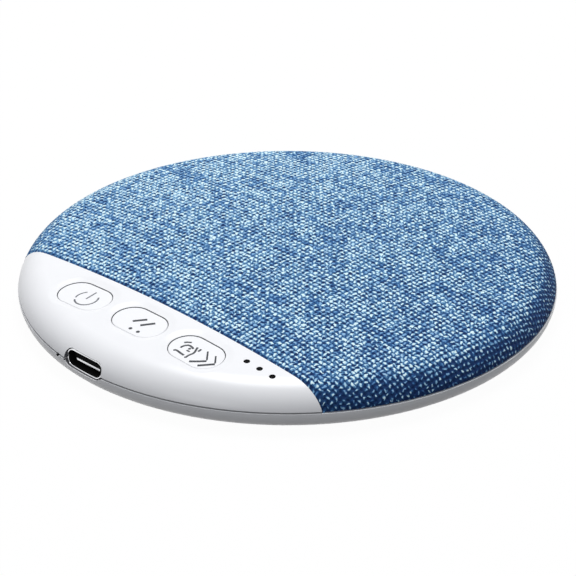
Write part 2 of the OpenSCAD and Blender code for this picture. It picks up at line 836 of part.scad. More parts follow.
module board_screws() {
    color("silver") for (p = board_screw_places) translate([p[0], p[1], board_top]) difference() {
        union() {
            cylinder(d = board_head_d, h = board_head_h);
            translate([0, 0, floor_z - board_hold - board_top])
                cylinder(d = board_screw_d, h = board_top - floor_z + board_hold + eps);
        }
        for (turn = [0, 90]) rotate([0, 0, turn])
            translate([-board_head_d / 3, -cross_w / 2, board_head_h / 2])
                cube([board_head_d / 1.5, cross_w, 1]);
    }
}

// Rubber foot over one of the housing screws
module foot(n) {
    bevel = 0.3;
    r = foot_d / 2;
    color("darkgray") translate([screw_places[n][0], screw_places[n][1], 0])
        rotate_extrude($fn = 96) polygon([[0, 0], [r - bevel, 0], [r, bevel],
            [r, foot_up + foot_seat - fit / 2], [0, foot_up + foot_seat - fit / 2]]);
}

module foot_front_left() { foot(0); }
module foot_front_right() { foot(1); }
module foot_rear_left() { foot(2); }
module foot_rear_right() { foot(3); }

bottom_cover();
control_panel();
grille_plate();
fabric_cover();
power_key();
back_key();
forward_key();
power_switch();
back_switch();
forward_switch();
power_plunger();
back_plunger();
forward_plunger();
main_board();
usb_shell();
usb_tongue();
light_guide();
status_leds();
microphone();
main_chip();
amplifier_chip();
battery_cell();
battery_pad();
battery_socket();
battery_leads();
driver_frame();
driver_yoke();
driver_magnet();
driver_pole_plate();
voice_coil();
driver_cone();
cone_surround();
driver_gasket();
driver_terminal();
speaker_socket();
speaker_leads();
housing_screws();
board_screws();
foot_front_left();
foot_front_right();
foot_rear_left();
foot_rear_right();
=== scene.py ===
import math

import bmesh
import bpy
import numpy as np
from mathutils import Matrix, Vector


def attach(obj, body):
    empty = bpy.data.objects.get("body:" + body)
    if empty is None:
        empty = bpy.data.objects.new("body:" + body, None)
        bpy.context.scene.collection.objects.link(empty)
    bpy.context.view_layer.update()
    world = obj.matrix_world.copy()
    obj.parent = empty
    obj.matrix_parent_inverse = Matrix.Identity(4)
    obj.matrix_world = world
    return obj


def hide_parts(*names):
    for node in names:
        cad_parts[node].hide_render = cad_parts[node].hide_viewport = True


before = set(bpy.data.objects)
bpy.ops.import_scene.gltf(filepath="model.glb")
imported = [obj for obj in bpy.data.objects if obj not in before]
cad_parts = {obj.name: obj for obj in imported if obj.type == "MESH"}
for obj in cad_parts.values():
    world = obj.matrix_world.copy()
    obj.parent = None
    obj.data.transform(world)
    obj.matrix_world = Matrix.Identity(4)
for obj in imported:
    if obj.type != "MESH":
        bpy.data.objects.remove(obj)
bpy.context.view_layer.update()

MM = 0.001

# Sizes of the solids, in millimetres
BODY_R = 47.5
CROWN_H = 7.3
CROWN_R = 336.0
EDGE_R = 6.0
PART_Z = 3.8
SEAM_GAP = 0.25
SEAM_DEPTH = 0.7
TOP_IN = 2.0
CHORD_Y = 29.2
FABRIC_GAP = 0.05
KEY_Y = 35.3
KEY_PITCH = 13.9
KEY_L = 11.0
KEY_W = 7.0
FLANGE_Z = 5.52
FLANGE_T = 0.8
FLANGE_W = 0.4
STEM_Z = 5.22
STEM_D = 2.7
LIGHT_Y = 31.9
LIGHTS_X = (22.4, 25.4, 28.4)
PORT_X = -1.6
PORT_Z = 4.65
PORT_GAP = 0.28
PORT_PLAY = 0.06
USB_W = 8.94
USB_H = 2.96
USB_T = 0.2
USB_END_Y = -39.87
MOUTH_Y = -46.37
MIC_TURN = math.radians(-10)
MIC_D = 0.7

# Sizes of the visible pieces alone, in millimetres
KEY_GAP = 0.1                           # between a key and its aperture
KEY_DROP = 0.34                         # of a key's top below the panel's surface
KEY_EDGE = 0.16                         # radius of a key's rounded edge
LIGHT_D = 1.1                           # of a status light's window
DISH_DEEP = 0.3                         # of the soft dish round each key
DISH_WIDE = 1.6
PANEL_LOW = PART_Z + SEAM_GAP + 0.1     # height of the panel's lower rim
MOUTH_IN = 0.6                          # from the rim in to the connector's mouth
HEM = 1.2                               # turned in along the cloth's edge
BORDER_Y = FABRIC_GAP - CHORD_Y         # place of the cloth's straight border
BORDER_TURN = 0.55                      # radius with which the cloth turns down there
PITCH = 0.96                            # of the cloth's threads

KEY_ROW = (-1, 0, 1)
PORT_L = USB_W + 2 * PORT_GAP
PORT_W = USB_H + 2 * PORT_PLAY

# The crown's section: a large circle, and a small one that rounds its edge
DROP = CROWN_R - CROWN_H
EDGE_C = ((CROWN_R - EDGE_R) ** 2 - EDGE_R ** 2 + BODY_R ** 2 - DROP ** 2) / (2 * DROP)
QA = 1 + (BODY_R / DROP) ** 2
QB = -2 * BODY_R * (1 + EDGE_C / DROP)
QC = BODY_R ** 2 + EDGE_C ** 2 - EDGE_R ** 2
EDGE_X = (-QB - math.sqrt(QB ** 2 - 4 * QA * QC)) / (2 * QA)
EDGE_Z = PART_Z + EDGE_C - BODY_R * EDGE_X / DROP
TAN_X = EDGE_X * CROWN_R / (CROWN_R - EDGE_R)
TAN_A = math.asin(TAN_X / CROWN_R)
TAN_S = CROWN_R * TAN_A


def at_arc(s):
    """Radius, height and slope at the distance s from the axis, along the surface."""
    s = np.asarray(s, float)
    a = np.where(s < TAN_S, s / CROWN_R, TAN_A + (s - TAN_S) / EDGE_R)
    r = np.where(s < TAN_S, CROWN_R * np.sin(a), EDGE_X + EDGE_R * np.sin(a))
    z = np.where(s < TAN_S, PART_Z - DROP + CROWN_R * np.cos(a), EDGE_Z + EDGE_R * np.cos(a))
    return r, z, a


def slope_at(r):
    r = np.asarray(r, float)
    edge = np.clip((r - EDGE_X) / EDGE_R, -1, 0.99999)
    return np.where(r < TAN_X, np.arcsin(np.clip(r / CROWN_R, 0, 1)), np.arcsin(edge))


def arc_at(r):
    r = np.asarray(r, float)
    a = slope_at(r)
    return np.where(r < TAN_X, CROWN_R * a, TAN_S + EDGE_R * (a - TAN_A))


def height_at(x, y):
    a = slope_at(np.hypot(x, y))
    crown = PART_Z - DROP + CROWN_R * np.cos(a)
    edge = EDGE_Z + EDGE_R * np.cos(a)
    return np.where(np.hypot(x, y) < TAN_X, crown, edge)


def arc_for_height(z):
    return TAN_S + EDGE_R * (math.acos((z - EDGE_Z) / EDGE_R) - TAN_A)


def smooth(t):
    t = np.clip(t, 0, 1)
    return t * t * (3 - 2 * t)


# Materials

def new_material(name):
    """A material, the maker of its nodes, and its main shader."""
    m = bpy.data.materials.new(name)
    m.use_nodes = True
    m.node_tree.nodes.clear()
    k = Maker(m.node_tree)
    out = k.node("ShaderNodeOutputMaterial")
    bsdf = k.node("ShaderNodeBsdfPrincipled")
    k.put(out.inputs[0], bsdf.outputs[0])
    return m, k, bsdf


def linear(c):
    return [((v / 255 + 0.055) / 1.055) ** 2.4 if v > 10 else v / 255 / 12.92 for v in c] + [1.0]


class Maker:
    """Short ways to add nodes to a tree."""

    def __init__(self, nt):
        self.nt = nt

    def node(self, kind, **values):
        n = self.nt.nodes.new(kind)
        for k, v in values.items():
            setattr(n, k, v)
        return n

    def put(self, socket, value):
        if isinstance(value, bpy.types.NodeSocket):
            self.nt.links.new(value, socket)
        else:
            socket.default_value = value

    def math(self, op, a, b=0.0, c=0.0, clamp=False):
        n = self.node("ShaderNodeMath", operation=op, use_clamp=clamp)
        for s, v in zip(n.inputs, (a, b, c)):
            self.put(s, v)
        return n.outputs[0]

    def add(self, a, b):
        return self.math("ADD", a, b)

    def sub(self, a, b, clamp=False):
        return self.math("SUBTRACT", a, b, clamp=clamp)

    def mul(self, a, b):
        return self.math("MULTIPLY", a, b)

    def mul_add(self, a, b, c):
        return self.math("MULTIPLY_ADD", a, b, c)

    def size(self, a):
        return self.math("ABSOLUTE", a)

    def floor(self, a):
        return self.math("FLOOR", a)

    def above(self, a, b):
        return self.math("GREATER_THAN", a, b)

    def below(self, a, b):
        return self.math("LESS_THAN", a, b)

    def larger(self, a, b):
        return self.math("MAXIMUM", a, b)

    def length(self, a, b):
        return self.math("SQRT", self.add(self.mul(a, a), self.mul(b, b)))

    def mix(self, t, a, b):
        n = self.node("ShaderNodeMix", data_type="FLOAT")
        self.put(n.inputs[0], t)
        self.put(n.inputs[2], a)
        self.put(n.inputs[3], b)
        return n.outputs[0]

    def tint(self, t, a, b):
        n = self.node("ShaderNodeMix", data_type="RGBA")
        self.put(n.inputs[0], t)
        self.put(n.inputs[6], a)
        self.put(n.inputs[7], b)
        return n.outputs[2]

    def shader_mix(self, t, a, b):
        n = self.node("ShaderNodeMixShader")
        for s, v in zip(n.inputs, (t, a, b)):
            self.put(s, v)
        return n.outputs[0]

    def shader(self, kind, colour, strength=None):
        n = self.node(kind)
        self.put(n.inputs[0], colour)
        if strength is not None:
            self.put(n.inputs[1], strength)
        return n.outputs[0]

    def vector(self, x, y, z):
        n = self.node("ShaderNodeCombineXYZ")
        for s, v in zip(n.inputs, (x, y, z)):
            self.put(s, v)
        return n.outputs[0]

    def parts(self, v):
        n = self.node("ShaderNodeSeparateXYZ")
        self.put(n.inputs[0], v)
        return n.outputs

    def noise(self, vector, scale, detail, roughness=0.5):
        n = self.node("ShaderNodeTexNoise")
        self.put(n.inputs["Vector"], vector)
        self.put(n.inputs["Scale"], scale)
        self.put(n.inputs["Detail"], detail)
        self.put(n.inputs["Roughness"], roughness)
        return n.outputs["Fac"]

    def white(self, x, y, seed):
        n = self.node("ShaderNodeTexWhiteNoise", noise_dimensions="3D")
        self.put(n.inputs["Vector"], self.vector(x, y, seed))
        return n.outputs["Value"]

    def ramp(self, t, stops):
        n = self.node("ShaderNodeValToRGB")
        self.put(n.inputs[0], t)
        e = n.color_ramp.elements
        while len(e) < len(stops):
            e.new(0.5)
        for i, (at, colour) in enumerate(stops):
            e[i].position = at
            e[i].color = linear(colour)
        return n.outputs[0]

    def band(self, t, low, high, a=0.0, b=1.0):
        n = self.node("ShaderNodeMapRange", interpolation_type="SMOOTHSTEP")
        for i, v in enumerate((t, low, high, a, b)):
            self.put(n.inputs[i], v)
        return n.outputs[0]

    def bump(self, height, distance, strength):
        n = self.node("ShaderNodeBump")
        self.put(n.inputs["Strength"], strength)
        self.put(n.inputs["Distance"], distance)
        self.put(n.inputs["Height"], height)
        return n.outputs[0]

    def place(self):
        return self.node("ShaderNodeTexCoord").outputs["Object"]

    def sees_background(self):
        """1 for a ray from the camera, also by way of metal or glass."""
        path = self.node("ShaderNodeLightPath").outputs
        ray = self.larger(path["Is Camera Ray"], path["Is Glossy Ray"])
        return self.larger(ray, path["Is Transmission Ray"])


def plain(name, colour, rough, metal=0.0, spread=0.04, grain=3000.0, depth=0.000004, coat=0.0,
          spec=0.5, second=None, patch=220.0):
    """A moulded, cast or drawn finish: slow colour drift, and a fine grain in the gloss."""
    m, k, bsdf = new_material(name)
    p = k.place()
    base = linear(colour)
    other = linear(second) if second else [c * (1 - spread) for c in base[:3]] + [1.0]
    drift = k.noise(p, patch, 3.0)
    k.put(bsdf.inputs["Base Color"], k.tint(k.band(drift, 0.35, 0.65), base, other))
    fine = k.noise(p, grain, 2.0, 0.6)
    k.put(bsdf.inputs["Roughness"], k.mix(fine, rough * 0.9, min(1.0, rough * 1.12)))
    k.put(bsdf.inputs["Normal"], k.bump(fine, depth, 0.35))
    bsdf.inputs["Metallic"].default_value = metal
    bsdf.inputs["Coat Weight"].default_value = coat
    bsdf.inputs["Specular IOR Level"].default_value = spec
    return m


HOUSING = dict(colour=(248, 248, 250), rough=0.3, spread=0.01, grain=2600, depth=0.000002)
WHITE = plain("white_plastic", **HOUSING)
KEYS = plain("key_plastic", (249, 249, 251), 0.46, spread=0.01, grain=3200, depth=0.000003, spec=0.35)
BLACK = plain("black_plastic", (16, 16, 18), 0.42, spread=0.2)
SMOKED = plain("smoked_plastic", (2, 2, 3), 0.65, spread=0.3, spec=0.06)
LED = plain("led_plastic", (236, 232, 214), 0.35)
STEEL = plain("steel", (176, 178, 182), 0.32, metal=1.0, spread=0.12, patch=600)
BRIGHT = plain("bright_steel", (238, 239, 242), 0.18, metal=1.0, spread=0.08, patch=900)
FRAME = plain("frame_steel", (52, 53, 56), 0.45, metal=0.6, spread=0.2)
MAGNET = plain("magnet", (112, 113, 116), 0.3, metal=1.0, spread=0.15)
COPPER = plain("copper", (196, 112, 66), 0.3, metal=1.0, spread=0.2, patch=1500)
CONE = plain("cone_film", (40, 42, 46), 0.5, spread=0.25)
RUBBER = plain("surround_rubber", (22, 22, 24), 0.7, spread=0.25, depth=0.00001)
FOAM = plain("foam", (44, 44, 46), 0.95, spread=0.4, grain=1800, depth=0.00005)
BOARD = plain("board", (22, 78, 52), 0.38, second=(16, 62, 42), patch=500, coat=0.3)
FOIL = plain("cell_foil", (188, 190, 194), 0.34, metal=0.9, spread=0.15, patch=180, depth=0.00002)
SLEEVE = plain("lead_sleeve", (168, 30, 28), 0.45, spread=0.15)
FOOT = plain("foot_rubber", (148, 150, 154), 0.78, spread=0.12, depth=0.00001)
PLATE = plain("plate_plastic", (34, 36, 40), 0.6, spread=0.2, grain=2200, depth=0.00001)
INK = plain("icon_ink", (66, 68, 73), 0.6, spread=0.15, patch=900, spec=0.3)
INK_SOFT = plain("icon_ink_soft", (118, 120, 126), 0.6, spread=0.12, patch=900, spec=0.3)
# Plastics that paint shade: near-black in the joint, pinhole and light holes, grey on the key apertures'
# walls and in the port's cut-out
SHADOW = plain("shadow_gap", (20, 20, 23), 0.75, spread=0.2, spec=0.1)
WALL_SHADE = plain("aperture_shade", (96, 97, 102), 0.6, spread=0.05, spec=0.2)
RECESS_SHADE = plain("port_recess_shade", (112, 113, 117), 0.6, spread=0.08, spec=0.2)
# Black plastic of the tongue, also painted shade inside the connector's shell
TONGUE = plain("tongue_plastic", (4, 4, 5), 0.7, spread=0.3, spec=0.08)


def cover_material():
    """The white plastic, with painted shade: dark on the joint face under the panel, in the port's cut-out
    and in the pinhole.
    """
    hair = 0.02
    joint_r, port_y, pin_y = 45.5, -43.0, -40.0
    m = plain("cover_plastic", **HOUSING)
    k = Maker(m.node_tree)
    bsdf = next(n for n in m.node_tree.nodes if n.type == "BSDF_PRINCIPLED")
    own = bsdf.inputs["Base Color"].links[0].from_socket
    x, y, z = k.parts(k.place())
    out = k.length(x, y)
    # Painted shade on the joint face under the panel
    joint = k.mul(k.above(z, (PART_Z - hair / 2) * MM), k.above(out, joint_r * MM))
    near = k.below(k.size(k.sub(x, PORT_X * MM)), (PORT_L / 2 + hair) * MM)
    inside = k.band(out, (BODY_R - 0.3) * MM, (BODY_R - 0.14) * MM, 1.0, 0.0)
    port = k.mul(k.mul(near, k.below(y, port_y * MM)),
                 k.mul(k.above(z, (PORT_Z - PORT_W / 2 - hair) * MM), inside))
    # The microphone's pinhole lies half in the cover
    side = k.add(k.mul(x, math.cos(MIC_TURN)), k.mul(y, math.sin(MIC_TURN)))
    apart = k.length(side, k.sub(z, (PART_Z + SEAM_GAP / 2) * MM))
    pin = k.mul(k.below(apart, (MIC_D / 2 + hair) * MM), k.below(y, pin_y * MM))
    # Painted shade: near-black in the joint and the pinhole, grey in the port's cut-out
    own = k.tint(k.larger(joint, pin), own, linear((22, 22, 25)))
    k.put(bsdf.inputs["Base Color"], k.tint(port, own, linear((86, 86, 90))))
    return m


COVER = cover_material()

# The fabric's tones, from 0 for its darkest blue to 1 for its palest
BASE = 0.19                       # between the floats
BODY = 0.44                       # added on a float
SIDE = 0.7                        # share of it lost to painted shade at a float's sides
END = 0.2                         # share of it lost to painted shade at a float's ends
CREST_HIGHLIGHT = 1.5                       # painted highlight on a float's crest
SPOT = 0.1                        # difference between one float and the next
FIBRE = 0.6                       # streaks of the single fibres
TWIST = 0.12                      # slant of the yarn
HOLE, HOLE_FAR = 0.78, 0.45       # depth of the painted shade in the pinholes near the camera and far from it
STEEP_SHADE, TUCKED_SHADE = 0.92, 0.7         # strength of the painted shade on the rim and at the border
SHADE_FALL = 0.0026                     # painted shade: fall of the tone per thread towards +X
BLUE_FROM, BLUE_TO = -0.13, 0.0   # where the noise along a thread turns it from blue to pale


def fabric_material():
    """Plain weave of melange yarn, with painted shade and highlights in its tones. The attribute holds the
    place on the cloth in thread pitches.
    """
    m, k, bsdf = new_material("blue_fabric")
    u, v, _ = k.parts(k.node("ShaderNodeAttribute", attribute_name="weave").outputs["Vector"])

    def noise(x, y, z, detail=1.0, roughness=0.5):
        return k.sub(k.noise(k.vector(x, y, z), 1.0, detail, roughness), 0.5)

    def field(scale, seed):
        return noise(k.mul(u, scale), k.mul(v, scale), seed)

    def wander(t, slow, fast):
        return k.add(t, k.add(k.mul(field(0.4, slow), 0.5), field(1.3, fast)))

    def float_top(side_from, side_to, end_from, end_to):
        return k.mul(k.band(across, side_from, side_to, 1.0, 0.0), k.band(along, end_from, end_to, 1.0, 0.0))

    # The threads wander, so that they aren't ruled lines
    pu, pv = wander(u, 3.0, 21.0), wander(v, 13.0, 31.0)
    iu, iv = k.floor(pu), k.floor(pv)
    fu, fv = k.sub(k.sub(pu, iu), 0.5), k.sub(k.sub(pv, iv), 0.5)
    weft = k.math("FLOORED_MODULO", k.add(iu, iv), 2.0)
    across = k.size(k.mix(weft, fu, fv))
    shift = k.mul(k.sub(k.white(iv, iu, 7.0), 0.5), 0.4)
    along = k.size(k.add(k.mix(weft, fv, fu), shift))
    # Each thread runs through pale and blue stretches
    warp_run = noise(k.mul(iu, 3.71), k.mul(v, 0.17), 5.0)
    weft_run = noise(k.mul(u, 0.13), k.mul(iv, 3.37), 9.0)
    run = k.add(k.mix(weft, warp_run, weft_run), k.mul(field(0.16, 41.0), 0.2))
    blue = k.band(run, BLUE_FROM, BLUE_TO, 1.0, 0.0)
    spot = k.sub(k.white(iu, iv, 4.0), 0.5)
    which = k.mul_add(iu, 5.13, k.mul(iv, 2.71))
    fibre = noise(k.mul(along, 2.4), k.mul(across, 6.0), which, 2.0, 0.6)
    # Pinholes where four threads meet, unequal in size, painted dark as shade, and a line of painted shade
    # beside each float
    corner = k.white(k.floor(k.add(pu, 0.5)), k.floor(k.add(pv, 0.5)), 8.0)
    reach = k.mul_add(corner, -0.16, 0.36)
    start, stop = k.sub(reach, 0.12), k.add(reach, 0.16)
    hole = k.mul(k.band(k.size(fu), start, stop), k.band(k.size(fv), start, stop))
    side, end = k.band(across, 0.2, 0.5), k.band(along, 0.3, 0.5)
    body = k.sub(1.0, k.add(k.mul(side, SIDE), k.mul(end, END)))
    crest = float_top(0.05, 0.25, 0.16, 0.46)
    tone = k.mul_add(body, BODY, BASE)
    tone = k.mul_add(crest, k.mul(k.mul_add(spot, 0.65, 0.5), CREST_HIGHLIGHT), tone)
    tone = k.mul_add(spot, SPOT, tone)
    tone = k.mul_add(fibre, FIBRE, tone)
    # The yarn's twist sets the floats off from each other along the diagonal
    twist = k.math("COSINE", k.mul(k.add(pu, pv), 2 * math.pi))
    tone = k.mul_add(twist, TWIST, tone)
    tone = k.sub(tone, k.mul(hole, k.band(v, -20.0, 45.0, HOLE, HOLE_FAR)))
    # Painted shade where the cloth turns down on the rim and where it is tucked in at the border, leaving
    # only painted highlights as specks on the floats' crests
    steep = k.band(k.mul(k.length(u, v), PITCH), TAN_S + 1.5, TAN_S + 4.3)
    border = BORDER_Y / PITCH
    tucked = k.band(v, border + 0.1, border + 0.75, 1.0, 0.0)
    speck = k.mul_add(float_top(0.03, 0.26, 0.05, 0.4), k.mul_add(spot, 0.5, 0.88), 0.13)
    tone = k.mix(k.larger(k.mul(steep, STEEP_SHADE), k.mul(tucked, TUCKED_SHADE)), tone, speck)
    # Painted shade, darker towards +X
    tone = k.sub(tone, k.mul(u, SHADE_FALL), clamp=True)
    pale = k.ramp(tone, [
        (0.0, (9, 42, 90)),
        (0.25, (46, 96, 146)),
        (0.5, (104, 154, 196)),
        (0.75, (163, 208, 238)),
        (1.0, (228, 252, 255))])
    deep = k.ramp(tone, [
        (0.0, (8, 42, 92)),
        (0.4, (40, 91, 147)),
        (0.75, (78, 130, 182)),
        (1.0, (138, 184, 224))])
    k.put(bsdf.inputs["Base Color"], k.tint(blue, pale, deep))
    relief = k.sub(k.mul_add(fibre, 0.4, body), hole)
    k.put(bsdf.inputs["Normal"], k.bump(relief, 0.0001, 0.5))
    k.put(bsdf.inputs["Roughness"], k.mix(k.add(fibre, 0.5), 0.72, 0.95))
    bsdf.inputs["Sheen Weight"].default_value = 0.1
    bsdf.inputs["Sheen Roughness"].default_value = 0.4
    bsdf.inputs["Specular IOR Level"].default_value = 0.2
    return m


FABRIC = fabric_material()

# Every solid gets its finish
FINISH = {
    "bottom_cover": COVER, "grille_plate": PLATE,
    "power_switch": STEEL, "back_switch": STEEL, "forward_switch": STEEL,
    "power_plunger": BLACK, "back_plunger": BLACK, "forward_plunger": BLACK,
    "main_board": BOARD, "usb_shell": BRIGHT, "usb_tongue": TONGUE, "light_guide": SMOKED,
    "status_leds": LED, "microphone": BRIGHT, "main_chip": BLACK, "amplifier_chip": BLACK,
    "battery_cell": FOIL, "battery_pad": FOAM, "battery_socket": LED, "battery_leads": SLEEVE,
    "driver_frame": FRAME, "driver_yoke": STEEL, "driver_magnet": MAGNET,
    "driver_pole_plate": STEEL, "voice_coil": COPPER, "driver_cone": CONE,
    "cone_surround": RUBBER, "driver_gasket": FOAM, "driver_terminal": BOARD,
    "speaker_socket": LED, "speaker_leads": SLEEVE, "housing_screws": STEEL,
    "board_screws": STEEL, "foot_front_left": FOOT, "foot_front_right": FOOT,
    "foot_rear_left": FOOT, "foot_rear_right": FOOT,
}
for name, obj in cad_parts.items():
    obj.data.materials.clear()
    obj.data.materials.append(FINISH.get(name, WHITE))


def face_out(o, split=False):
    """Turns the faces outward, and splits those with many corners if asked."""
    bm = bmesh.new()
    bm.from_mesh(o.data)
    bmesh.ops.recalc_face_normals(bm, faces=bm.faces)
    if split:
        bmesh.ops.triangulate(bm, faces=[f for f in bm.faces if len(f.verts) > 4])
    bm.to_mesh(o.data)
    bm.free()


def soften(o, degrees):
    o.data.shade_smooth()
    o.data.set_sharp_from_angle(angle=math.radians(degrees))


def mesh_object(name, points, faces, material, slot, body="root"):
    """Points in millimetres."""
    me = bpy.data.meshes.new(name)
    me.from_pydata([tuple(p) for p in np.asarray(points, float) * MM], [], faces)
    me.validate()
    me.materials.append(material)
    o = bpy.data.objects.new(name, me)
    bpy.context.scene.collection.objects.link(o)
    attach(o, body)
    return o


# Fabric: a grid that follows the threads, with the relief of a plain weave
S_END = arc_for_height(PART_Z + SEAM_GAP + 0.16)
# Each step of the hem: inward, down and along the cloth on the rim, and down on the straight border
HEM_STEPS = ((0.06, -0.12, 0.15, 0.35), (0.28, -0.2, 0.4, 0.75), (1.0, -0.16, HEM, HEM))


def weave_relief(u, v):
    """Height of the cloth over its middle surface at a place in pitches, in millimetres."""
    swing, half, thick = 0.085, 0.47, 0.12
    between, middle = -0.05, 0.15
    i, j = np.floor(u), np.floor(v)
    a, b = u - i - 0.5, v - j - 0.5
    sign = np.where((i + j) % 2 == 0, 1.0, -1.0)
    warp = sign * swing * np.cos(np.pi * b) + thick * np.sqrt(np.clip(1 - (a / half) ** 2, 0, 1))
    weft = -sign * swing * np.cos(np.pi * a) + thick * np.sqrt(np.clip(1 - (b / half) ** 2, 0, 1))
    warp = np.where(np.abs(a) < half, warp, between)
    weft = np.where(np.abs(b) < half, weft, between)
    return np.maximum(warp, weft) - middle


def boundary(quads):
    """The vertices along the edge of the grid, in order."""
    e = np.concatenate([quads[:, [0, 1]], quads[:, [1, 2]], quads[:, [2, 3]], quads[:, [3, 0]]])
    _, first, uses = np.unique(np.sort(e, 1), axis=0, return_index=True, return_counts=True)
    once = e[first[uses == 1]]
    follow = {int(a): int(b) for a, b in once}
    loop = [int(once[0, 0])]
    while follow[loop[-1]] != loop[0]:
        loop.append(follow[loop[-1]])
    return np.array(loop)


def onto_edge(u, v):
    """Places moved onto the rim circle or the straight border, whichever is nearer."""
    s = np.hypot(u, v)
    r, _, _ = at_arc(np.minimum(s, S_END))
    end_r = float(at_arc(S_END)[0])
    corner_x = math.sqrt(end_r ** 2 - BORDER_Y ** 2)
    on_rim = np.abs(S_END - s) < np.abs(v * r / s - BORDER_Y)
    x = np.where(on_rim, u / s * end_r, u * r / s)
    y = np.where(on_rim, v / s * end_r, BORDER_Y)
    past = ~on_rim & (np.hypot(x, y) > end_r)
    x = np.where(past, np.sign(x) * corner_x, x)
    low = on_rim & (y < BORDER_Y)
    x, y = np.where(low, np.sign(x) * corner_x, x), np.where(low, BORDER_Y, y)
    r = np.hypot(x, y)
    s = arc_at(np.minimum(r, end_r))
    return x / r * s, y / r * s


def on_crown(u, v, lift):
    """Points of the cloth, which turns down along the straight border."""
    s = np.maximum(np.hypot(u, v), 1e-9)
    r, z, a = at_arc(np.minimum(s, S_END))
    x, y = u / s * r, v / s * r
    ahead = np.clip(BORDER_TURN - (y - BORDER_Y), 0, BORDER_TURN)
    drop = BORDER_TURN - np.sqrt(np.clip(BORDER_TURN ** 2 - ahead ** 2, 0, None))
    x, y = x + lift * np.sin(a) * u / s, y + lift * np.sin(a) * v / s
    return np.stack([x, np.maximum(y, BORDER_Y), z + lift * np.cos(a) - drop], 1)


def make_fabric():
    steps = (0.0, 0.34, 0.66)
    n = int(S_END / PITCH) + 2
    line = np.array([(k + s) * PITCH for k in range(-n, n) for s in steps])
    U, V = np.meshgrid(line, line, indexing="ij")
    s = np.hypot(U, V)
    r, _, _ = at_arc(np.minimum(s, S_END + 2))
    y = V * np.where(s > 1e-9, r / np.maximum(s, 1e-9), 1.0)
    inside = (s <= S_END - 0.05) & (y >= BORDER_Y + 0.04)
    # A cell is kept where at least three of its corners are inside
    c = inside.astype(int)
    keep = (c[:-1, :-1] + c[1:, :-1] + c[1:, 1:] + c[:-1, 1:]) >= 3
    index = -np.ones(U.shape, int)
    used = np.zeros(U.shape, bool)
    for di, dj in ((0, 0), (1, 0), (1, 1), (0, 1)):
        used[di:used.shape[0] - 1 + di, dj:used.shape[1] - 1 + dj] |= keep
    index[used] = np.arange(used.sum())
    u, v = U[used], V[used]
    ci, cj = np.nonzero(keep)
    quads = np.stack([index[ci, cj], index[ci + 1, cj], index[ci + 1, cj + 1], index[ci, cj + 1]], 1)
    loop = boundary(quads)
    u[loop], v[loop] = onto_edge(u[loop], v[loop])
    fade = smooth((S_END - np.hypot(u, v)) / 0.5)
    lift = weave_relief(u / PITCH, v / PITCH) * (0.4 + 0.6 * fade) - 0.02
    pts = on_crown(u, v, lift)
    weave = np.stack([u, v], 1)
    faces = [tuple(q) for q in quads]
    # The cloth turns under along the rim and down along the straight border
    on_border = np.abs(pts[loop, 1] - BORDER_Y) < 1e-6
    out = weave[loop] / np.linalg.norm(weave[loop], axis=1)[:, None]
    last = loop
    for inward, down, run, fall in HEM_STEPS:
        base = pts[loop].copy()
        base[:, :2] -= np.where(on_border[:, None], 0, inward) * out
        base[:, 2] += np.where(on_border, -fall, down)
        base[:, 2] = np.where(on_border, np.maximum(base[:, 2], PART_Z + SEAM_GAP + 0.02), base[:, 2])
        w = weave[loop] + np.where(on_border[:, None], np.array([[0.0, -fall]]), out * run)
        new = len(pts) + np.arange(len(loop))
        pts, weave = np.concatenate([pts, base]), np.concatenate([weave, w])
        for k in range(len(loop)):
            q = (k + 1) % len(loop)
            faces.append((int(last[q]), int(last[k]), int(new[k]), int(new[q])))
        last = new
    o = mesh_object("fabric", pts, faces, FABRIC, slot="blue_fabric")
    att = o.data.attributes.new("weave", "FLOAT_VECTOR", "POINT")
    vec = np.zeros((len(pts), 3), np.float32)
    vec[:, :2] = weave / PITCH
    att.data.foreach_set("vector", vec.ravel())
    o.data.shade_smooth()
    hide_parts("fabric_cover")


make_fabric()


# Control panel: a fine revolved segment with soft dishes round the keys, then its cut-outs
def obround_distance(x, y, cx, cy, l, w):
    """Distance outside an obround, negative inside."""
    half = (l - w) / 2
    px = np.clip(x - cx, -half, half)
    return np.hypot(x - cx - px, y - cy) - w / 2


def key_distance(x, y, i):
    return obround_distance(x, y, i * KEY_PITCH, -KEY_Y, KEY_L, KEY_W)


def dish(x, y):
    deep = np.zeros_like(x, dtype=float)
    for i in KEY_ROW:
        deep = np.maximum(deep, DISH_DEEP * smooth(1 - key_distance(x, y, i) / DISH_WIDE))
    return deep


def surface(x, y):
    return height_at(x, y) - dish(x, y)


def surface_normal(x, y):
    h = 0.01
    dx = -(dish(x + h, y) - dish(x - h, y)) / (2 * h)
    dy = -(dish(x, y + h) - dish(x, y - h)) / (2 * h)
    r = np.maximum(np.hypot(x, y), 1e-9)
    t = -np.tan(slope_at(r))
    n = np.stack([-(t * x / r + dx), -(t * y / r + dy), np.ones_like(r)], 1)
    return n / np.linalg.norm(n, axis=1)[:, None]


def cutter(name, points, faces):
    """Points in millimetres, which the object's scale turns into metres."""
    me = bpy.data.meshes.new(name)
    me.from_pydata([tuple(p) for p in points], [], faces)
    me.validate()
    o = bpy.data.objects.new(name, me)
    bpy.context.scene.collection.objects.link(o)
    face_out(o)
    o.scale = (MM, MM, MM)
    return o


def stack(rings):
    """A closed solid through rings of as many points each, in millimetres."""
    n = len(rings[0])
    pts = np.concatenate(rings)
    faces = [tuple(range(n - 1, -1, -1))]
    for k in range(len(rings) - 1):
        for a in range(n):
            b = (a + 1) % n
            faces.append((k * n + a, k * n + b, (k + 1) * n + b, (k + 1) * n + a))
    faces.append(tuple((len(rings) - 1) * n + a for a in range(n)))
    return pts, faces


